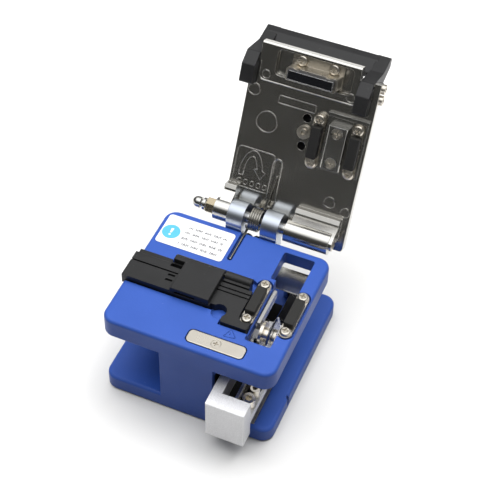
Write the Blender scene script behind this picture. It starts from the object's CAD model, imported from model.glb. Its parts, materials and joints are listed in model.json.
"""Looks of a bench-top optical-fibre cleaver with its lid open.

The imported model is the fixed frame. Each sub-assembly below is a class that
keeps the sizes of its own small features, builds their meshes and dresses
them, and every node of the model gets a procedural finish. The frame is that
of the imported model, in metres: +X to the user's right, +Y away from the user,
+Z up. The sub-assemblies give their own sizes in millimetres.
"""

import json
import logging
import math
from dataclasses import dataclass
from enum import Enum
from typing import Dict, List, Optional, Sequence, Tuple

import bmesh
import bpy
from mathutils import Matrix, Vector


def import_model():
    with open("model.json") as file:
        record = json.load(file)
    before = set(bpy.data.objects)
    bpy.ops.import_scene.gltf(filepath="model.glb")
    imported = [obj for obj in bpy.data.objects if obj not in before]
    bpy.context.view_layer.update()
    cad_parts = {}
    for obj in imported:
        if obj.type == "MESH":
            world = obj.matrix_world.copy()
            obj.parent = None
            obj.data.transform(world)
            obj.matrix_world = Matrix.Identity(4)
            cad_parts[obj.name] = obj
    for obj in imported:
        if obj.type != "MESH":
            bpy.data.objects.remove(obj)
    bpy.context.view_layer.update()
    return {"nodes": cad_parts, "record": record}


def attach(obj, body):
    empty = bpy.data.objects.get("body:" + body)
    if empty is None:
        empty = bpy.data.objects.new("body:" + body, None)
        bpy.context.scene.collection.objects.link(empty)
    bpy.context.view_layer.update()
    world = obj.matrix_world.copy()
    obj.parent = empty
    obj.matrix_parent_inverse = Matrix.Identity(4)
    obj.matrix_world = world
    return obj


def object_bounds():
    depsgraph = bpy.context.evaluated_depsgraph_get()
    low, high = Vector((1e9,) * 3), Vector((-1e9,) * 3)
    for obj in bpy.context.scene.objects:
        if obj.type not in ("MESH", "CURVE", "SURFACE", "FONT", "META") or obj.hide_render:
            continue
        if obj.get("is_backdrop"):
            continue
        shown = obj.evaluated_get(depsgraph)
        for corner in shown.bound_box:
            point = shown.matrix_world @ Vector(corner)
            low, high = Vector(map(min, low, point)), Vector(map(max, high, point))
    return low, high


LOG = logging.getLogger("cleaver")
MM = 0.001
FLOAT = "NodeSocketFloat"
VECTOR = "NodeSocketVector"
Colour = Tuple[float, float, float]
Point2 = Tuple[float, float]
Point3 = Tuple[float, float, float]
Socket = bpy.types.NodeSocket
Loop = Sequence[bmesh.types.BMVert]


class Body(Enum):
    """Bodies of the model that the small pieces ride on."""

    FRAME = "body"
    CARRIAGE = "carriage"
    LID = "lid"


class Slot(Enum):
    """Material slots of the record."""

    BLUE_PAINT = "blue_paint"
    BLACK_RUBBER = "black_rubber"
    PAD_RUBBER = "pad_rubber"
    NICKEL = "nickel"
    MIRROR_NICKEL = "mirror_nickel"
    LABEL = "label"
    BLACK_PLASTIC = "black_plastic"
    MAGNET = "magnet"
    STEEL = "steel"
    POLISHED_STEEL = "polished_steel"
    BLACK_OXIDE = "black_oxide"
    SPRING_STEEL = "spring_steel"
    BLASTED_ALUMINIUM = "blasted_aluminium"
    BARE_ALUMINIUM = "bare_aluminium"
    CARBIDE = "carbide"
    BRASS_PLATE = "brass_plate"


# ---------------------------------------------------------------- node helper


class Graph:
    """Adds and links nodes in one node tree."""

    def __init__(self, tree: bpy.types.NodeTree) -> None:
        """Keep the tree.

        Args:
            tree: the material's or group's node tree.
        """
        self.tree = tree

    def add(self, kind: str, **settings: object) -> bpy.types.Node:
        """Add a node.

        Args:
            kind: the node's type without its "ShaderNode" prefix.
            settings: properties to set on the node.

        Returns:
            The new node.
        """
        node = self.tree.nodes.new("ShaderNode" + kind)
        for name, value in settings.items():
            setattr(node, name, value)
        return node

    def put(self, socket: Socket, value: object) -> None:
        """Link or set an input.

        Args:
            socket: the input.
            value: an output to link from, or a constant.
        """
        if isinstance(value, bpy.types.NodeSocket):
            self.tree.links.new(value, socket)
        elif hasattr(value, "__len__") and len(value) == 3 and len(socket.default_value) == 4:
            socket.default_value = (*value, 1.0)
        else:
            socket.default_value = value

    def math(self, operation: str, a: object, b: object = 0.5, clamp: bool = False) -> Socket:
        """One maths step.

        Args:
            operation: the Math node's operation.
            a: first operand.
            b: second operand.
            clamp: keep the result between 0 and 1.

        Returns:
            The result.
        """
        node = self.add("Math", operation=operation, use_clamp=clamp)
        self.put(node.inputs[0], a)
        self.put(node.inputs[1], b)
        return node.outputs[0]

    def times(self, a: object, b: object) -> Socket:
        """Product of two values."""
        return self.math("MULTIPLY", a, b)

    def span(self, value: object, low: float, high: float, to_low: float = 0.0,
             to_high: float = 1.0) -> Socket:
        """Map one range to another, clamped.

        Args:
            value: the input.
            low: start of the input's range.
            high: end of the input's range.
            to_low: result at the start.
            to_high: result at the end.

        Returns:
            The mapped value.
        """
        node = self.add("MapRange", interpolation_type="SMOOTHSTEP")
        for socket, item in zip(node.inputs, (value, low, high, to_low, to_high)):
            self.put(socket, item)
        return node.outputs[0]

    def mix(self, share: object, a: object, b: object) -> Socket:
        """Mix two colours.

        Args:
            share: how much of the second, 0 to 1.
            a: first colour.
            b: second colour.

        Returns:
            The mixed colour.
        """
        node = self.add("Mix", data_type="RGBA")
        self.put(node.inputs["Factor"], share)
        self.put(node.inputs[6], a)
        self.put(node.inputs[7], b)
        return node.outputs[2]

    def noise(self, where: object, scale: object, detail: float = 3.0,
              rough: float = 0.55) -> Socket:
        """Noise value at a place.

        Args:
            where: the coordinates, in metres.
            scale: cycles per metre.
            detail: octaves.
            rough: share of the finer octaves.

        Returns:
            The noise, 0 to 1.
        """
        node = self.add("TexNoise")
        self.put(node.inputs["Vector"], where)
        self.put(node.inputs["Scale"], scale)
        self.put(node.inputs["Detail"], detail)
        self.put(node.inputs["Roughness"], rough)
        return node.outputs["Fac"]

    def stretched(self, where: object, factors: object) -> Socket:
        """Scale coordinates axis by axis.

        Args:
            where: the coordinates.
            factors: three factors, or a vector output.

        Returns:
            The scaled coordinates.
        """
        node = self.add("VectorMath", operation="MULTIPLY")
        self.put(node.inputs[0], where)
        self.put(node.inputs[1], factors)
        return node.outputs[0]


# --------------------------------------------------------------- node groups


class EffectGroup:
    """A shader effect that several finishes share, built once."""

    name = "effect"
    inputs: Sequence[Tuple[str, str, object]] = ()
    outputs: Sequence[Tuple[str, str]] = ()
    _built: Dict[str, bpy.types.NodeTree] = {}

    def wire(self, graph: Graph, ins: bpy.types.Node, outs: bpy.types.Node) -> None:
        """Lay the group's own nodes.

        Args:
            graph: the group's tree.
            ins: the group's input node.
            outs: the group's output node.
        """
        raise NotImplementedError

    def tree(self) -> bpy.types.NodeTree:
        """The group's tree, made at its first use.

        Returns:
            The shared node tree.
        """
        if self.name not in EffectGroup._built:
            tree = bpy.data.node_groups.new(self.name, "ShaderNodeTree")
            for label, kind, start in self.inputs:
                item = tree.interface.new_socket(label, in_out="INPUT", socket_type=kind)
                if start is not None:
                    item.default_value = start
            for label, kind in self.outputs:
                tree.interface.new_socket(label, in_out="OUTPUT", socket_type=kind)
            ins = tree.nodes.new("NodeGroupInput")
            self.wire(Graph(tree), ins, tree.nodes.new("NodeGroupOutput"))
            EffectGroup._built[self.name] = tree
        return EffectGroup._built[self.name]

    def place(self, graph: Graph, **values: object) -> bpy.types.Node:
        """Put the group in a material.

        Args:
            graph: the material's tree.
            values: the inputs, by name with _ for a space.

        Returns:
            The group node.
        """
        node = graph.tree.nodes.new("ShaderNodeGroup")
        node.node_tree = self.tree()
        for label, value in values.items():
            graph.put(node.inputs[label.replace("_", " ")], value)
        return node


class EdgeWear(EffectGroup):
    """Finds the outer edges and breaks them up, for worn or bright edges."""

    name = "edge_wear"
    inputs = (("Width", FLOAT, 0.0004), ("Patchiness", FLOAT, 0.5), ("Vector", VECTOR, None))
    outputs = (("Edge", FLOAT), ("Soft Normal", VECTOR))
    rays = 4
    bend = (0.995, 0.90)
    patch_scale = 420.0
    patch_range = (0.35, 0.62)

    def wire(self, graph: Graph, ins: bpy.types.Node, outs: bpy.types.Node) -> None:
        """Compare the rounded normal with the true one, then thin it with noise.

        Args:
            graph: the group's tree.
            ins: the group's input node.
            outs: the group's output node.
        """
        bevel = graph.add("Bevel", samples=self.rays)
        graph.put(bevel.inputs["Radius"], ins.outputs["Width"])
        shape = graph.add("NewGeometry")
        dot = graph.add("VectorMath", operation="DOT_PRODUCT")
        graph.put(dot.inputs[0], bevel.outputs["Normal"])
        graph.put(dot.inputs[1], shape.outputs["Normal"])
        edge = graph.span(dot.outputs["Value"], *self.bend)
        patches = graph.noise(ins.outputs["Vector"], self.patch_scale)
        keep = graph.times(graph.span(patches, *self.patch_range), ins.outputs["Patchiness"])
        keep = graph.math("SUBTRACT", 1.0, keep)
        graph.put(outs.inputs["Edge"], graph.math("MULTIPLY", edge, keep, clamp=True))
        graph.put(outs.inputs["Soft Normal"], bevel.outputs["Normal"])


class Grain(EffectGroup):
    """Fine even grain, as on spark-textured plastic or satin paint."""

    name = "grain"
    inputs = (("Vector", VECTOR, None), ("Pitch", FLOAT, 0.0003))
    outputs = (("Height", FLOAT), ("Patches", FLOAT))
    patch_width = 40.0

    def wire(self, graph: Graph, ins: bpy.types.Node, outs: bpy.types.Node) -> None:
        """Two noises: one at the grain's pitch, and one much wider.

        Args:
            graph: the group's tree.
            ins: the group's input node.
            outs: the group's output node.
        """
        scale = graph.math("DIVIDE", 1.0, ins.outputs["Pitch"])
        graph.put(outs.inputs["Height"], graph.noise(ins.outputs["Vector"], scale, 2.0))
        wide = graph.math("DIVIDE", scale, self.patch_width)
        graph.put(outs.inputs["Patches"], graph.noise(ins.outputs["Vector"], wide))


class Smudges(EffectGroup):
    """Finger smudges and faint hairlines on bright metal."""

    name = "smudges"
    inputs = (("Vector", VECTOR, None), ("Amount", FLOAT, 0.5))
    outputs = (("Smear", FLOAT), ("Hairlines", FLOAT))
    smear_scale = 75.0
    smear_range = (0.42, 0.74)
    first_squeeze = (900.0, 60.0, 60.0)
    first_range = (0.70, 0.76)
    second_squeeze = (50.0, 700.0, 900.0)
    second_range = (0.71, 0.77)

    def wire(self, graph: Graph, ins: bpy.types.Node, outs: bpy.types.Node) -> None:
        """Soft patches, and thin crossing lines from stretched noise.

        Args:
            graph: the group's tree.
            ins: the group's input node.
            outs: the group's output node.
        """
        where, amount = ins.outputs["Vector"], ins.outputs["Amount"]
        smear = graph.span(graph.noise(where, self.smear_scale, 4.0, 0.6), *self.smear_range)
        graph.put(outs.inputs["Smear"], graph.times(smear, amount))
        first = graph.noise(graph.stretched(where, self.first_squeeze), 1.0, 1.0)
        second = graph.noise(graph.stretched(where, self.second_squeeze), 1.0, 1.0)
        first = graph.span(first, *self.first_range)
        lines = graph.math("MAXIMUM", first, graph.span(second, *self.second_range))
        graph.put(outs.inputs["Hairlines"], graph.times(lines, amount))


class Dust(EffectGroup):
    """Sparse pale specks."""

    name = "dust"
    inputs = (("Vector", VECTOR, None), ("Density", FLOAT, 0.2))
    outputs = (("Specks", FLOAT),)
    cell_scale = 900.0
    speck_range = (0.12, 0.04)

    def wire(self, graph: Graph, ins: bpy.types.Node, outs: bpy.types.Node) -> None:
        """Small cells, few of which hold a speck.

        Args:
            graph: the group's tree.
            ins: the group's input node.
            outs: the group's output node.
        """
        cells = graph.add("TexVoronoi")
        graph.put(cells.inputs["Vector"], ins.outputs["Vector"])
        graph.put(cells.inputs["Scale"], self.cell_scale)
        near = graph.span(cells.outputs["Distance"], *self.speck_range)
        lot = graph.add("SeparateColor")
        graph.put(lot.inputs[0], cells.outputs["Color"])
        limit = graph.math("SUBTRACT", 1.0, ins.outputs["Density"])
        chosen = graph.math("GREATER_THAN", lot.outputs[0], limit)
        graph.put(outs.inputs["Specks"], graph.times(near, chosen))


# ------------------------------------------------------------------ finishes


def scaled(colour: Colour, gain: float, lift: float = 0.0) -> Colour:
    """A lighter or darker colour.

    Args:
        colour: the colour to start from.
        gain: what each channel is multiplied by.
        lift: what is then added to it.

    Returns:
        The new colour, with no channel over 1.
    """
    return tuple(min(1.0, channel * gain + lift) for channel in colour)


@dataclass(frozen=True)
class Finish:
    """A surface finish. Subclasses lay the nodes."""

    name: str
    colour: Colour

    def lay(self, graph: Graph, shader: bpy.types.Node, where: Socket) -> None:
        """Lay the finish's nodes.

        Args:
            graph: the material's tree.
            shader: the Principled BSDF.
            where: object coordinates, in metres.
        """
        raise NotImplementedError

    def material(self) -> bpy.types.Material:
        """The finish's material, made at its first use.

        Returns:
            The material.
        """
        found = bpy.data.materials.get(self.name)
        if found is not None and found.get("cleaver_finish"):
            return found
        made = bpy.data.materials.new(self.name)
        made["cleaver_finish"] = True
        made.use_nodes = True
        graph = Graph(made.node_tree)
        shader = made.node_tree.nodes["Principled BSDF"]
        self.lay(graph, shader, graph.add("TexCoord").outputs["Object"])
        return made

    @staticmethod
    def bump(graph: Graph, shader: bpy.types.Node, height: object, depth: float,
             normal: object = None) -> None:
        """Feed a height to the shader's normal.

        Args:
            graph: the material's tree.
            shader: the Principled BSDF.
            height: the height output.
            depth: its depth in metres.
            normal: a normal to start from.
        """
        node = graph.add("Bump")
        node.inputs["Strength"].default_value = 1.0
        node.inputs["Distance"].default_value = depth
        graph.put(node.inputs["Height"], height)
        if normal is not None:
            graph.put(node.inputs["Normal"], normal)
        graph.put(shader.inputs["Normal"], node.outputs["Normal"])


@dataclass(frozen=True)
class SatinPaint(Finish):
    """Satin stove paint over a fine blasted casting."""

    roughness: float = 0.42
    specular: float = 0.24
    pitch: float = 0.00042
    depth: float = 0.000035
    drift: float = 0.93
    edge_width: float = 0.0006
    edge_share: float = 0.55
    dust_share: float = 0.25
    dust: Colour = (0.5, 0.55, 0.62)

    def lay(self, graph: Graph, shader: bpy.types.Node, where: Socket) -> None:
        """Orange-peel bump, slight colour drift, edges a little lighter.

        Args:
            graph: the material's tree.
            shader: the Principled BSDF.
            where: object coordinates, in metres.
        """
        grain = Grain().place(graph, Vector=where, Pitch=self.pitch)
        wear = EdgeWear().place(graph, Width=self.edge_width, Patchiness=0.7, Vector=where)
        patches = grain.outputs["Patches"]
        darker = scaled(self.colour, self.drift)
        body = graph.mix(graph.span(patches, 0.3, 0.7), self.colour, darker)
        edge = graph.times(wear.outputs["Edge"], self.edge_share)
        body = graph.mix(edge, body, scaled(self.colour, 1.25, 0.012))
        specks = Dust().place(graph, Vector=where, Density=0.05).outputs["Specks"]
        body = graph.mix(graph.times(specks, self.dust_share), body, self.dust)
        graph.put(shader.inputs["Base Color"], body)
        rough = (self.roughness - 0.05, self.roughness + 0.08)
        graph.put(shader.inputs["Roughness"], graph.span(patches, 0.2, 0.8, *rough))
        shader.inputs["Specular IOR Level"].default_value = self.specular
        normal = wear.outputs["Soft Normal"]
        self.bump(graph, shader, grain.outputs["Height"], self.depth, normal)


@dataclass(frozen=True)
class PlatedMetal(Finish):
    """Plated or polished metal with smudges, hairlines and bright edges."""

    roughness: float = 0.12
    smear: float = 0.5
    edge_width: float = 0.00018
    edge_share: float = 0.6
    dulling: float = 0.86
    smear_rough: float = 0.10
    line_rough: float = 0.06
    depth: float = 0.000004

    def lay(self, graph: Graph, shader: bpy.types.Node, where: Socket) -> None:
        """Metal with roughness from smears and a faint machined grain.

        Args:
            graph: the material's tree.
            shader: the Principled BSDF.
            where: object coordinates, in metres.
        """
        shader.inputs["Metallic"].default_value = 1.0
        marks = Smudges().place(graph, Vector=where, Amount=self.smear)
        wear = EdgeWear().place(graph, Width=self.edge_width, Patchiness=0.4, Vector=where)
        smear, lines = marks.outputs["Smear"], marks.outputs["Hairlines"]
        body = graph.mix(smear, self.colour, scaled(self.colour, self.dulling))
        edge = graph.times(wear.outputs["Edge"], self.edge_share)
        body = graph.mix(edge, body, scaled(self.colour, 1.12, 0.02))
        graph.put(shader.inputs["Base Color"], body)
        rough = graph.math("ADD", graph.times(smear, self.smear_rough), self.roughness)
        rough = graph.math("ADD", rough, graph.times(lines, self.line_rough))
        graph.put(shader.inputs["Roughness"], rough)
        self.bump(graph, shader, lines, self.depth, wear.outputs["Soft Normal"])


@dataclass(frozen=True)
class GrainyMetal(Finish):
    """Bead-blasted or ground metal."""

    roughness: float = 0.4
    pitch: float = 0.00025
    depth: float = 0.00002
    sparkle: float = 0.25
    metallic: float = 1.0
    edge_width: float = 0.00025
    edge_share: float = 0.5
    edge: Colour = (0.93, 0.93, 0.93)

    def lay(self, graph: Graph, shader: bpy.types.Node, where: Socket) -> None:
        """Fine pits that vary the colour, roughness and normal together.

        Args:
            graph: the material's tree.
            shader: the Principled BSDF.
            where: object coordinates, in metres.
        """
        shader.inputs["Metallic"].default_value = self.metallic
        grain = Grain().place(graph, Vector=where, Pitch=self.pitch)
        wear = EdgeWear().place(graph, Width=self.edge_width, Patchiness=0.3, Vector=where)
        pits = graph.span(grain.outputs["Height"], 0.35, 0.65)
        body = graph.mix(pits, scaled(self.colour, 1.0 - self.sparkle), self.colour)
        body = graph.mix(graph.times(wear.outputs["Edge"], self.edge_share), body, self.edge)
        graph.put(shader.inputs["Base Color"], body)
        rough = (self.roughness - 0.05, self.roughness + 0.07)
        rough = graph.span(grain.outputs["Patches"], 0.25, 0.75, *rough)
        graph.put(shader.inputs["Roughness"], rough)
        normal = wear.outputs["Soft Normal"]
        self.bump(graph, shader, grain.outputs["Height"], self.depth, normal)


@dataclass(frozen=True)
class Moulded(Finish):
    """Moulded plastic or rubber with a spark texture and rubbed edges."""

    roughness: float = 0.5
    pitch: float = 0.0003
    depth: float = 0.00003
    rub: float = 0.5
    specular: float = 0.4
    edge_width: float = 0.0003
    edge_polish: float = 0.12
    dust_share: float = 0.2
    dust: Colour = (0.4, 0.4, 0.4)

    def lay(self, graph: Graph, shader: bpy.types.Node, where: Socket) -> None:
        """Texture bump, polished edges and a little lint.

        Args:
            graph: the material's tree.
            shader: the Principled BSDF.
            where: object coordinates, in metres.
        """
        grain = Grain().place(graph, Vector=where, Pitch=self.pitch)
        wear = EdgeWear().place(graph, Width=self.edge_width, Patchiness=0.6, Vector=where)
        patches, edge = grain.outputs["Patches"], wear.outputs["Edge"]
        body = graph.mix(graph.span(patches, 0.3, 0.7), self.colour, scaled(self.colour, 1.25))
        body = graph.mix(graph.times(edge, self.rub), body, scaled(self.colour, 2.2, 0.012))
        specks = Dust().place(graph, Vector=where, Density=0.10).outputs["Specks"]
        body = graph.mix(graph.times(specks, self.dust_share), body, self.dust)
        graph.put(shader.inputs["Base Color"], body)
        rough = (self.roughness - 0.06, self.roughness + 0.08)
        rough = graph.span(patches, 0.2, 0.8, *rough)
        rough = graph.math("SUBTRACT", rough, graph.times(edge, self.edge_polish))
        graph.put(shader.inputs["Roughness"], rough)
        shader.inputs["Specular IOR Level"].default_value = self.specular
        normal = wear.outputs["Soft Normal"]
        self.bump(graph, shader, grain.outputs["Height"], self.depth, normal)


@dataclass(frozen=True)
class PrintedFilm(Finish):
    """Printed label film with a faint paper tooth."""

    roughness: float = 0.35
    pitch: float = 0.00018
    depth: float = 0.000006
    drift: float = 0.95

    def lay(self, graph: Graph, shader: bpy.types.Node, where: Socket) -> None:
        """Slight tone drift and tooth under a thin gloss.

        Args:
            graph: the material's tree.
            shader: the Principled BSDF.
            where: object coordinates, in metres.
        """
        grain = Grain().place(graph, Vector=where, Pitch=self.pitch)
        patches = graph.span(grain.outputs["Patches"], 0.3, 0.7)
        body = graph.mix(patches, self.colour, scaled(self.colour, self.drift))
        graph.put(shader.inputs["Base Color"], body)
        rough = (self.roughness - 0.05, self.roughness + 0.08)
        graph.put(shader.inputs["Roughness"], graph.span(grain.outputs["Height"], 0.2, 0.8, *rough))
        self.bump(graph, shader, grain.outputs["Height"], self.depth)


@dataclass(frozen=True)
class PaleFloor(Finish):
    """Plain pale paper sweep."""

    roughness: float = 0.75
    specular: float = 0.2
    drift: float = 0.985

    def lay(self, graph: Graph, shader: bpy.types.Node, where: Socket) -> None:
        """Barely uneven white.

        Args:
            graph: the material's tree.
            shader: the Principled BSDF.
            where: object coordinates, in metres.
        """
        patches = graph.noise(where, 3.0, 2.0)
        body = graph.mix(patches, self.colour, scaled(self.colour, self.drift))
        graph.put(shader.inputs["Base Color"], body)
        shader.inputs["Roughness"].default_value = self.roughness
        shader.inputs["Specular IOR Level"].default_value = self.specular


FINISHES: Dict[Slot, Finish] = {
    Slot.BLUE_PAINT: SatinPaint("satin_blue_paint", (0.0165, 0.050, 0.225)),
    Slot.BLACK_RUBBER: Moulded(
        "sole_rubber", (0.007, 0.007, 0.008), roughness=0.75, pitch=0.00035, rub=0.2),
    Slot.PAD_RUBBER: Moulded(
        "clamp_pad_rubber", (0.0085, 0.0083, 0.0078), roughness=0.6, pitch=0.00022, rub=0.25),
    Slot.NICKEL: PlatedMetal("nickel_plate", (0.72, 0.67, 0.58), roughness=0.27),
    Slot.MIRROR_NICKEL: PlatedMetal(
        "mirror_nickel_plate", (0.62, 0.605, 0.565), roughness=0.17, smear=0.45, edge_width=0.0002),
    Slot.LABEL: PrintedFilm("label_film", (0.46, 0.462, 0.468)),
    Slot.BLACK_PLASTIC: Moulded(
        "moulded_black_plastic", (0.0085, 0.0085, 0.0088), roughness=0.40, specular=0.34),
    Slot.MAGNET: PlatedMetal("magnet_plate", (0.16, 0.17, 0.20), roughness=0.14, smear=0.4),
    Slot.STEEL: PlatedMetal(
        "machined_steel", (0.56, 0.55, 0.53), roughness=0.24, edge_width=0.00012),
    Slot.POLISHED_STEEL: PlatedMetal(
        "polished_steel_plate", (0.60, 0.59, 0.56), roughness=0.18, smear=0.4),
    Slot.BLACK_OXIDE: GrainyMetal(
        "black_oxide_steel", (0.035, 0.035, 0.038), roughness=0.36, pitch=0.0002, depth=0.00001,
        sparkle=0.2),
    Slot.SPRING_STEEL: PlatedMetal(
        "drawn_spring_wire", (0.40, 0.385, 0.35), roughness=0.26, smear=0.3),
    Slot.BLASTED_ALUMINIUM: GrainyMetal(
        "bead_blasted_aluminium", (0.66, 0.66, 0.67), roughness=0.5, pitch=0.00024,
        depth=0.000024, metallic=0.5),
    Slot.BARE_ALUMINIUM: PlatedMetal(
        "satin_aluminium", (0.56, 0.60, 0.66), roughness=0.36, smear=0.3, edge_width=0.00025),
    Slot.CARBIDE: GrainyMetal(
        "ground_carbide", (0.44, 0.46, 0.50), roughness=0.22, pitch=0.00012, depth=0.000006,
        sparkle=0.15),
    Slot.BRASS_PLATE: PlatedMetal("plated_brass", (0.60, 0.51, 0.35), roughness=0.22),
}

BLACK_LINING = Moulded(
    "black_lining", (0.006, 0.006, 0.006), roughness=0.7, pitch=0.0004, rub=0.3, specular=0.15)
CYAN_INK = PrintedFilm("cyan_ink", (0.045, 0.25, 0.40), roughness=0.3)
GREY_INK = PrintedFilm("grey_ink", (0.018, 0.020, 0.026))
WHITE_INK = PrintedFilm("white_ink", (0.45, 0.455, 0.46))
DARK_HOLE = Moulded(
    "unlit_hole", (0.002, 0.002, 0.002), roughness=0.8, depth=0.00001, rub=0.0, specular=0.05)


# ------------------------------------------------------------- mesh building


@dataclass(frozen=True)
class Face:
    """A flat face of the tool with its own directions, for placing small features."""

    origin: Point3 = (0.0, 0.0, 0.0)
    tilt: float = 0.0

    def at(self, across: float, along: float, out: float = 0.0) -> Vector:
        """Point in the frame of the model.

        Args:
            across: millimetres to the right.
            along: millimetres along the face.
            out: millimetres out of it.

        Returns:
            The point, in metres.
        """
        turn = Matrix.Rotation(math.radians(self.tilt), 3, "X")
        return Vector(self.origin) + turn @ (Vector((across, along, out)) * MM)

    def raised(self, out: float) -> "Face":
        """A parallel face, so many millimetres further out."""
        return Face(tuple(self.at(0.0, 0.0, out)), self.tilt)


DECK = Face((0.0, 0.0, 0.038))
LID = Face((0.0, 0.0277, 0.0401), 64.4)
BASE = Face()


def ring(x: float, y: float, r: float, steps: int = 36) -> List[Point2]:
    """Points of a circle, in millimetres.

    Args:
        x: centre across.
        y: centre along.
        r: radius to the points.
        steps: how many points.

    Returns:
        The points, anticlockwise.
    """
    angles = (math.radians(360.0 * k / steps) for k in range(steps))
    return [(x + r * math.cos(a), y + r * math.sin(a)) for a in angles]


def bow(x: float, y: float, rx: float, ry: float, start: float, stop: float,
        steps: int = 14) -> List[Point2]:
    """Points of an elliptical arc, in millimetres.

    Args:
        x: centre across.
        y: centre along.
        rx: half width.
        ry: half height.
        start: first angle, in degrees.
        stop: last angle.
        steps: how many spans.

    Returns:
        The points, from the first angle to the last.
    """
    angles = (math.radians(start + (stop - start) * k / steps) for k in range(steps + 1))
    return [(x + rx * math.cos(a), y + ry * math.sin(a)) for a in angles]


def pane(x0: float, x1: float, y0: float, y1: float, r: float) -> List[Point2]:
    """Rectangle with round corners, in millimetres.

    Args:
        x0: left edge.
        x1: right edge.
        y0: near edge.
        y1: far edge.
        r: corner radius.

    Returns:
        The points, anticlockwise.
    """
    corners = ((x1 - r, y0 + r, -90.0), (x1 - r, y1 - r, 0.0),
               (x0 + r, y1 - r, 90.0), (x0 + r, y0 + r, 180.0))
    return [p for cx, cy, a in corners for p in bow(cx, cy, r, r, a, a + 90.0, 6)]


class Workpiece:
    """Mesh of one small piece, built feature by feature on the tool's faces."""

    bead_sink = 0.05
    bead_shoulder = (0.42, 0.62)
    smooth_below = 38.0
    bevel_above = 40.0
    bevel_steps = 2

    def __init__(self, name: str) -> None:
        """Start an empty mesh.

        Args:
            name: the piece's name.
        """
        self.name = name
        self.mesh = bmesh.new()

    def prism(self, face: Face, outline: Sequence[Point2], low: float, high: float) -> None:
        """Add a plate with upright sides.

        Args:
            face: where it lies.
            outline: its outline, in millimetres.
            low: height of its underside above the face.
            high: height of its top.
        """
        rows = [[self.mesh.verts.new(face.at(x, y, h)) for x, y in outline] for h in (low, high)]
        count = len(outline)
        self.mesh.faces.new(rows[0][::-1])
        self.mesh.faces.new(rows[1])
        for k in range(count):
            n = (k + 1) % count
            self.mesh.faces.new((rows[0][k], rows[0][n], rows[1][n], rows[1][k]))

    def bead(self, face: Face, path: Sequence[Point2], width: float, height: float,
             closed: bool = True) -> None:
        """Add a raised half-round line, with its foot a little below the face.

        Args:
            face: where it lies.
            path: its middle line, in millimetres.
            width: its width.
            height: its height.
            closed: whether its ends meet.
        """
        w, h = self.bead_shoulder
        foot, shoulder = -self.bead_sink, height * h
        section = [(-0.5, foot), (-w, shoulder), (0.0, height), (w, shoulder), (0.5, foot)]
        rows = []
        count = len(path)
        for k, (x, y) in enumerate(path):
            before = path[k - 1] if closed or k else path[k]
            after = path[(k + 1) % count] if closed or k < count - 1 else path[k]
            way = Vector((after[0] - before[0], after[1] - before[1])).normalized()
            points = (face.at(x - way.y * s * width, y + way.x * s * width, z) for s, z in section)
            rows.append([self.mesh.verts.new(point) for point in points])
        for k in range(count if closed else count - 1):
            self.join(rows[k], rows[(k + 1) % count])
        if not closed:
            self.mesh.faces.new(rows[0][::-1])
            self.mesh.faces.new(rows[-1])

    def join(self, first: Loop, second: Loop) -> None:
        """Close the band between two loops of the same length.

        Args:
            first: one loop.
            second: the other.
        """
        for i in range(len(first)):
            j = (i + 1) % len(first)
            self.mesh.faces.new((first[i], first[j], second[j], second[i]))

    def turned(self, face: Face, centre: Point2, profile: Sequence[Point2], steps: int) -> None:
        """Add a round piece, turned about the face's normal.

        Args:
            face: where it stands.
            centre: its axis, in millimetres.
            profile: radius and height of each step, closed on itself.
            steps: how many sides.
        """
        rows = [[self.mesh.verts.new(face.at(x, y, h)) for x, y in ring(*centre, r, steps)]
                for r, h in profile]
        for k in range(len(rows)):
            self.join(rows[k], rows[(k + 1) % len(rows)])

    def done(self, body: Body, slot: Slot, finish: Optional[Finish] = None,
             soften: float = 0.0) -> bpy.types.Object:
        """Turn the mesh into a piece that rides on a body.

        Args:
            body: the body it moves with.
            slot: the record's slot it belongs to.
            finish: its finish, if it isn't the slot's own.
            soften: width of its rounded edges, in millimetres.

        Returns:
            The piece.
        """
        bmesh.ops.recalc_face_normals(self.mesh, faces=self.mesh.faces)
        data = bpy.data.meshes.new(self.name)
        self.mesh.to_mesh(data)
        self.mesh.free()
        for polygon in data.polygons:
            polygon.use_smooth = True
        data.set_sharp_from_angle(angle=math.radians(self.smooth_below))
        piece = bpy.data.objects.new(self.name, data)
        bpy.context.scene.collection.objects.link(piece)
        data.materials.append((finish or FINISHES[slot]).material())
        if soften > 0.0:
            edge = piece.modifiers.new("rounded edges", "BEVEL")
            edge.width = soften * MM
            edge.segments = self.bevel_steps
            edge.limit_method = "ANGLE"
            edge.angle_limit = math.radians(self.bevel_above)
        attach(piece, body.value)
        LOG.info("built %s on %s", self.name, body.value)
        return piece


# ------------------------------------------------------------- sub-assemblies


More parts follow.
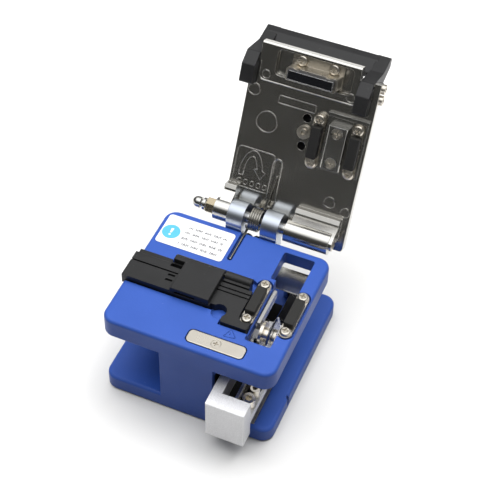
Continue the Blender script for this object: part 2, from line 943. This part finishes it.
@dataclass
class LidRelief:
    """Raised lines cast on the lid's inner face, and the bottoms of two blind holes.

    Places are across the lid and along it from the hinge. A gain is what a
    line's width and height are multiplied by.
    """

    face: float = -5.0
    width: float = 0.42
    height: float = 0.13
    rings: Sequence[Tuple[float, float, float]] = (
        (-8.6, 51.2, 1.45), (22.5, 51.2, 1.45), (-4.8, 34.7, 3.8),
        (23.4, 12.8, 2.0), (29.6, 10.7, 1.7), (-11.6, 45.0, 2.1),
    )
    ring_steps: int = 40
    thin: Point2 = (0.9, 1.0)
    window_plate: Tuple[float, ...] = (-2.1, 11.5, 42.5, 45.3, 0.35)
    panel: Tuple[float, ...] = (-13.2, 1.0, 8.7, 23.6, 1.4)
    rim_left: Tuple[float, ...] = (-8.9, 51.2, 2.2, 2.2, 180.0, 270.0, 8)
    rim_right: Tuple[float, ...] = (22.8, 51.2, 2.2, 2.2, 270.0, 360.0, 8)
    rim_ends: Tuple[Point2, Point2] = ((-11.1, 55.4), (25.0, 55.0))
    rim_gain: Point2 = (1.3, 1.8)
    slot_arch: Tuple[float, ...] = (2.4, 20.9, 1.7, 1.7, 0.0, 180.0, 12)
    slot_feet: Tuple[Point2, Point2] = ((0.7, 6.6), (4.1, 6.6))
    slot_gain: Point2 = (1.1, 1.5)
    arrow_outer: Tuple[float, ...] = (-6.9, 14.6, 4.3, 8.4, 180.0, 12.0, 22)
    arrow_inner: Tuple[float, ...] = (-7.1, 14.6, 2.5, 6.2, 20.0, 180.0, 22)
    arrow_head: Sequence[Point2] = ((-1.6, 15.9), (-3.0, 13.1), (-6.0, 16.4), (-4.75, 16.7))
    arrow_foot: Sequence[Point2] = ((-9.6, 13.0), (-11.2, 13.0))
    ribs: int = 5
    rib_start: float = -11.3
    rib_pitch: float = 2.45
    rib_width: float = 1.35
    rib_span: Point2 = (9.8, 11.6)
    rib_corner: float = 0.4
    rib_gain: Point2 = (0.62, 1.0)
    holes: Sequence[Point2] = ((9.1, 40.1), (9.1, 29.8))
    hole_profile: Sequence[Point2] = (
        (0.02, -1.15), (1.46, -1.15), (1.46, -0.12), (1.3, -0.3), (0.02, -0.9))
    hole_steps: int = 28

    def line(self, part: Workpiece, path: Sequence[Point2], gain: Point2 = (1.0, 1.0),
             closed: bool = True) -> None:
        """Add one raised line on the lid's inner face.

        Args:
            part: the piece it belongs to.
            path: its middle line, in millimetres.
            gain: what its width and height are multiplied by.
            closed: whether its ends meet.
        """
        plane = LID.raised(self.face)
        part.bead(plane, path, self.width * gain[0], self.height * gain[1], closed)

    def lines(self) -> None:
        """Ejector marks, the latch's plate and rim, the arrow's panel and the leg's slot."""
        part = Workpiece("lid_relief_lines")
        for x, s, r in self.rings:
            self.line(part, ring(x, s, r, self.ring_steps))
        self.line(part, pane(*self.window_plate), self.thin)
        self.line(part, pane(*self.panel))
        rim = [self.rim_ends[0]] + bow(*self.rim_left) + bow(*self.rim_right) + [self.rim_ends[1]]
        self.line(part, rim, self.rim_gain, closed=False)
        self.line(part, bow(*self.slot_arch) + list(self.slot_feet), self.slot_gain)
        part.done(Body.LID, Slot.MIRROR_NICKEL)

    def arrow(self) -> None:
        """Arched arrow that shows which way the lid closes, and the ribs under it."""
        part = Workpiece("closing_arrow")
        outline = bow(*self.arrow_outer) + list(self.arrow_head)
        outline += bow(*self.arrow_inner)[:-1] + list(self.arrow_foot)
        self.line(part, outline, self.thin)
        for k in range(self.ribs):
            x = self.rib_start + self.rib_pitch * k
            rib = pane(x, x + self.rib_width, *self.rib_span, self.rib_corner)
            self.line(part, rib, self.rib_gain)
        part.done(Body.LID, Slot.MIRROR_NICKEL)

    def hole_bottoms(self) -> None:
        """Dark bottoms of the two blind holes beside the stroke adjuster."""
        part = Workpiece("blind_hole_bottoms")
        for centre in self.holes:
            part.turned(LID.raised(self.face), centre, self.hole_profile, self.hole_steps)
        part.done(Body.LID, Slot.MIRROR_NICKEL, DARK_HOLE)

    def build(self) -> None:
        """Build all of the relief."""
        self.lines()
        self.arrow()
        self.hole_bottoms()


@dataclass
class Latch:
    """Thin polished edge round the latch magnet's face."""

    centre: float = 8.9
    row: float = 55.1
    face: float = 1.7
    half: Point2 = (8.1, 1.55)
    corner: float = 0.35
    width: float = 0.22
    height: float = 0.06

    def build(self) -> None:
        """Build the edge."""
        part = Workpiece("magnet_edge")
        w, d = self.half
        outline = pane(self.centre - w, self.centre + w, self.row - d, self.row + d, self.corner)
        part.bead(LID.raised(self.face), outline, self.width, self.height)
        part.done(Body.LID, Slot.POLISHED_STEEL)


@dataclass
class LabelPrint:
    """Generic print on the label: a round mark and four rows of strokes.

    A row has its first and last place across, its place along and its height.
    """

    top: float = 0.12
    film: float = 0.02
    sink: float = 0.01
    mark: Tuple[float, float, float] = (-25.9, 12.1, 3.3)
    mark_steps: int = 48
    sign_sink: float = 0.005
    sign_rise: float = 0.012
    stem_half: Point2 = (0.28, 0.5)
    stem_span: Point2 = (-0.5, 1.7)
    dot: Tuple[float, float, int] = (1.35, 0.42, 16)
    rows: Sequence[Tuple[float, float, float, float]] = (
        (-20.6, -5.9, 16.3, 1.15), (-21.2, -6.6, 13.7, 1.15),
        (-21.4, -5.6, 10.9, 1.35), (-21.4, -5.9, 8.2, 1.35),
    )
    stroke: float = 0.26
    pitch: float = 0.54
    word_gap: float = 0.85
    lean: float = 0.12
    feet: Point2 = (0.7, 0.3)
    heads: Point2 = (0.6, 0.4)
    bar_span: Point2 = (-0.25, 0.4)
    bar_step: float = 0.22
    bar_width: float = 0.16
    bar_rise: float = 0.001

    def build(self) -> None:
        """Build the mark, its sign and the rows."""
        low, high = self.top - self.sink, self.top + self.film
        x, y, r = self.mark
        disc = Workpiece("label_disc")
        disc.prism(DECK, ring(x, y, r, self.mark_steps), low, high)
        disc.done(Body.FRAME, Slot.LABEL, CYAN_INK)
        sign = Workpiece("label_sign")
        (foot, head), (near, far) = self.stem_half, self.stem_span
        stem = [(x - foot, y + near), (x + foot, y + near),
                (x + head, y + far), (x - head, y + far)]
        drop, radius, steps = self.dot
        for outline in (stem, ring(x, y - drop, radius, steps)):
            sign.prism(DECK, outline, high - self.sign_sink, high + self.sign_rise)
        sign.done(Body.FRAME, Slot.LABEL, WHITE_INK)
        self.strokes(low, high)

    def strokes(self, low: float, high: float) -> None:
        """Short strokes in word-like groups, carrying no text.

        Args:
            low: underside of the ink.
            high: top of the ink.
        """
        part = Workpiece("label_strokes")
        for row, (x, stop, y, tall) in enumerate(self.rows):
            k = 0
            while x < stop:
                lean = self.lean * ((k + row) % 3 - 1)
                foot = y - tall / 2 * (self.feet[0] + self.feet[1] * ((k + 1) % 2))
                head = y + tall / 2 * (self.heads[0] + self.heads[1] * ((k + row) % 2))
                end = x + self.stroke
                part.prism(DECK, [(x, foot), (end, foot), (end + lean, head), (x + lean, head)],
                           low, high)
                if k % 2:
                    left, right = (x + place for place in self.bar_span)
                    bar = y + self.bar_step * ((k + row) % 3 - 1)
                    over = bar + self.bar_width
                    part.prism(DECK, [(left, bar), (right, bar), (right, over), (left, over)],
                               low, high + self.bar_rise)
                x += self.pitch + (self.word_gap if (k * 7 + row * 3) % 5 == 4 else 0.0)
                k += 1
        part.done(Body.FRAME, Slot.LABEL, GREY_INK)


@dataclass
class CastMarks:
    """Small triangle cast on the deck in front of the blade slot."""

    corners: Sequence[Point2] = ((9.7, -23.3), (13.9, -22.7), (11.2, -19.5))
    stops: Sequence[float] = (0.06, 0.3, 0.6, 0.94)
    stroke: Sequence[Point2] = ((11.45, -22.0), (11.35, -21.3), (11.3, -20.9))
    width: float = 0.34
    height: float = 0.14

    def build(self) -> None:
        """Build the triangle, with its corners cut, and its inner stroke."""
        part = Workpiece("deck_triangle")
        path = []
        for k, (x, y) in enumerate(self.corners):
            nx, ny = self.corners[(k + 1) % 3]
            path.extend([(x + (nx - x) * t, y + (ny - y) * t) for t in self.stops])
        part.bead(DECK, path, self.width, self.height)
        part.bead(DECK, self.stroke, self.width, self.height, closed=False)
        part.done(Body.FRAME, Slot.BLUE_PAINT)


@dataclass
class TunnelLining:
    """Black sheets in the carriage's tunnel, and the insert on the carriage's floor."""

    floor: Point2 = (6.72, 6.92)
    floor_sheets: Sequence[Tuple[float, ...]] = (
        (10.3, 23.4, -31.2, -10.6, 0.6), (10.3, 14.5, -10.5, 21.0, 0.6),
        (19.9, 23.4, -10.5, 21.0, 0.6),
    )
    wall: Tuple[float, ...] = (10.12, 10.37, -31.0, 20.0, 0.1)
    wall_span: Point2 = (7.2, 26.1)
    tray: Point2 = (16.28, 16.63)
    tray_strip: Tuple[float, ...] = (15.0, 19.1, -35.6, -10.0, 0.5)
    tray_near: Sequence[Point2] = ((20.45, -35.5), (24.3, -35.5), (24.3, -33.5))
    first_notch: Tuple[float, ...] = (22.6, -31.1, 2.4, 2.4, 270.0, 90.0, 12)
    between: Sequence[Point2] = ((24.2, -28.7),)
    second_notch: Tuple[float, ...] = (23.0, -26.5, 1.95, 1.95, 270.0, 90.0, 12)
    tray_far: Sequence[Point2] = ((24.3, -24.4), (24.3, -11.0), (20.45, -11.0))
    soften: float = 0.05

    def sheets(self) -> None:
        """Thin lining on the base plate and on the column's wall."""
        part = Workpiece("tunnel_lining")
        for sheet in self.floor_sheets:
            part.prism(BASE, pane(*sheet), *self.floor)
        part.prism(BASE, pane(*self.wall), *self.wall_span)
        part.done(Body.FRAME, Slot.BLACK_OXIDE, BLACK_LINING, self.soften)

    def insert(self) -> None:
        """Black insert on the carriage's floor, notched round the height screws."""
        part = Workpiece("carriage_insert")
        part.prism(BASE, pane(*self.tray_strip), *self.tray)
        outline = list(self.tray_near) + bow(*self.first_notch) + list(self.between)
        outline += bow(*self.second_notch) + list(self.tray_far)
        part.prism(BASE, outline, *self.tray)
        part.done(Body.CARRIAGE, Slot.BLACK_OXIDE, BLACK_LINING, self.soften)

    def build(self) -> None:
        """Build the lining and the insert."""
        self.sheets()
        self.insert()


# ------------------------------------------------------------- studio and camera


@dataclass(frozen=True)
class SoftBox:
    """A soft lamp, in metres and watts."""

    name: str
    place: Point3
    target: Point3
    size: float
    power: float
    tint: Colour
    shape: float = 0.75

    def build(self) -> bpy.types.Object:
        """Hang the lamp, hidden from bright metal.

        Returns:
            The lamp.
        """
        data = bpy.data.lights.new(self.name, "AREA")
        data.shape = "RECTANGLE"
        data.size = self.size
        data.size_y = self.size * self.shape
        data.energy = self.power
        data.color = self.tint
        lamp = bpy.data.objects.new(self.name, data)
        bpy.context.scene.collection.objects.link(lamp)
        lamp.location = self.place
        lamp.visible_glossy = False
        aim = Vector(self.place) - Vector(self.target)
        lamp.rotation_euler = aim.to_track_quat("Z", "Y").to_euler()
        return lamp


@dataclass
class Studio:
    """Floor, soft lights, a dark card for the bright metal, and the camera."""

    azimuth: float = 22.18
    elevation: float = 47.68
    roll: float = 1.37
    lens: float = 98.5
    sensor: float = 36.0
    nearest: float = 0.02
    position: Point3 = (0.1155, -0.2701, 0.3801)
    floor_size: Point2 = (5.0, 5.0)
    floor_colour: Colour = (0.452, 0.452, 0.453)
    zenith: float = 2.0
    horizon: float = 0.09
    rear_glow: float = 0.10
    rear_range: Point2 = (0.1, 0.9)
    dim_below: float = 0.60
    bright_above: float = 1.0
    backdrop: float = 0.95
    sky: Colour = (0.97, 0.98, 1.0)
    boxes: Sequence[SoftBox] = (
        SoftBox("broad_box", (-0.20, 0.22, 0.92), (0.0, 0.0, 0.03), 1.5, 26.0, (1.0, 0.99, 0.97)),
        SoftBox("top_box", (0.20, 0.30, 0.98), (0.0, 0.0, 0.03), 0.6, 5.0, (1.0, 0.99, 0.97)),
        SoftBox("side_box", (0.95, 0.35, 0.55), (0.0, 0.02, 0.03), 0.4, 1.5, (0.97, 0.985, 1.0)),
    )
    card_place: Point3 = (-0.10, -0.75, 0.16)
    card_size: Point2 = (1.5, 0.55)
    card_tilt: float = 82.0
    card_colour: Colour = (0.050, 0.050, 0.048)

    def build(self) -> None:
        """Make the whole studio."""
        self.floor()
        self.world()
        for box in self.boxes:
            box.build()
        self.card()
        self.camera()

    @staticmethod
    def sheet(name: str, size: Point2, z: float, material: bpy.types.Material) -> bpy.types.Object:
        """A flat sheet that belongs to the stage.

        Args:
            name: the sheet's name.
            size: its size across and along, in metres.
            z: its height above its own origin.
            material: its material.

        Returns:
            The sheet, lying flat over the origin.
        """
        mesh = bpy.data.meshes.new(name)
        w, h = size[0] / 2, size[1] / 2
        mesh.from_pydata([(-w, -h, z), (w, -h, z), (w, h, z), (-w, h, z)], [], [(0, 1, 2, 3)])
        mesh.materials.append(material)
        sheet = bpy.data.objects.new(name, mesh)
        bpy.context.scene.collection.objects.link(sheet)
        sheet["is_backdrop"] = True
        return sheet

    def floor(self) -> None:
        """A wide pale sheet under the tool."""
        finish = PaleFloor("pale_floor", self.floor_colour).material()
        self.sheet("floor_sheet", self.floor_size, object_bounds()[0][2], finish)

    def world(self) -> None:
        """A surround that is bright overhead and dim near the horizon."""
        world = bpy.data.worlds.new("studio")
        bpy.context.scene.world = world
        world.use_nodes = True
        graph = Graph(world.node_tree)
        back = world.node_tree.nodes["Background"]
        axes = graph.add("SeparateXYZ")
        graph.put(axes.inputs[0], graph.add("TexCoord").outputs["Generated"])
        height = graph.span(axes.outputs["Z"], self.dim_below, self.bright_above)
        rear = graph.span(axes.outputs["Y"], *self.rear_range, 0.0, self.rear_glow)
        glow = graph.math("ADD", graph.times(height, self.zenith), rear)
        glow = graph.math("ADD", glow, self.horizon)
        seen = graph.add("LightPath").outputs["Is Camera Ray"]
        share = graph.times(seen, graph.math("SUBTRACT", self.backdrop, glow))
        graph.put(back.inputs["Strength"], graph.math("ADD", glow, share))
        back.inputs["Color"].default_value = (*self.sky, 1.0)

    def card(self) -> None:
        """Dark card in front of the tool, which only bright metal mirrors."""
        dark = bpy.data.materials.new("dark_card")
        dark.use_nodes = True
        graph = Graph(dark.node_tree)
        glow = graph.add("Emission")
        graph.put(glow.inputs["Color"], self.card_colour)
        output = dark.node_tree.nodes["Material Output"]
        graph.put(output.inputs["Surface"], glow.outputs[0])
        card = self.sheet("front_card", self.card_size, 0.0, dark)
        card.location = self.card_place
        card.rotation_euler = (math.radians(self.card_tilt), 0, 0)
        card.visible_camera = False
        card.visible_diffuse = False
        card.visible_shadow = False
        card.visible_transmission = False

    def camera(self) -> None:
        """Camera above the right front corner, looking down at the lid."""
        data = bpy.data.cameras.new("camera")
        data.sensor_width = self.sensor
        data.lens = self.lens
        data.clip_start = self.nearest
        eye = bpy.data.objects.new("camera", data)
        bpy.context.scene.collection.objects.link(eye)
        turn = (
            Matrix.Rotation(math.radians(self.azimuth), 4, "Z")
            @ Matrix.Rotation(math.radians(90.0 - self.elevation), 4, "X")
            @ Matrix.Rotation(math.radians(self.roll), 4, "Z")
        )
        eye.matrix_world = Matrix.Translation(self.position) @ turn
        bpy.context.scene.camera = eye


# ------------------------------------------------------------------ main


def dress_nodes(frame: Dict[str, object]) -> None:
    """Give every node of the model its finish.
    """
    for part in frame["record"]["subparts"]:
        node = frame["nodes"][part["node"]]
        finish = FINISHES[Slot(part["material_slot"])].material()
        for place in node.material_slots:
            place.material = finish
        LOG.info("dressed %s in %s", part["node"], finish.name)


def main() -> None:
    """Load the model, dress it, add the small pieces and light the stage."""
    logging.basicConfig(level=logging.INFO, format="%(name)s: %(message)s")
    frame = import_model()
    dress_nodes(frame)
    for assembly in (LidRelief(), Latch(), LabelPrint(), CastMarks(), TunnelLining()):
        assembly.build()
    Studio().build()
    settings = bpy.context.scene.view_settings
    settings.view_transform = "Standard"
    settings.look = "None"


if __name__ == "__main__":
    main()
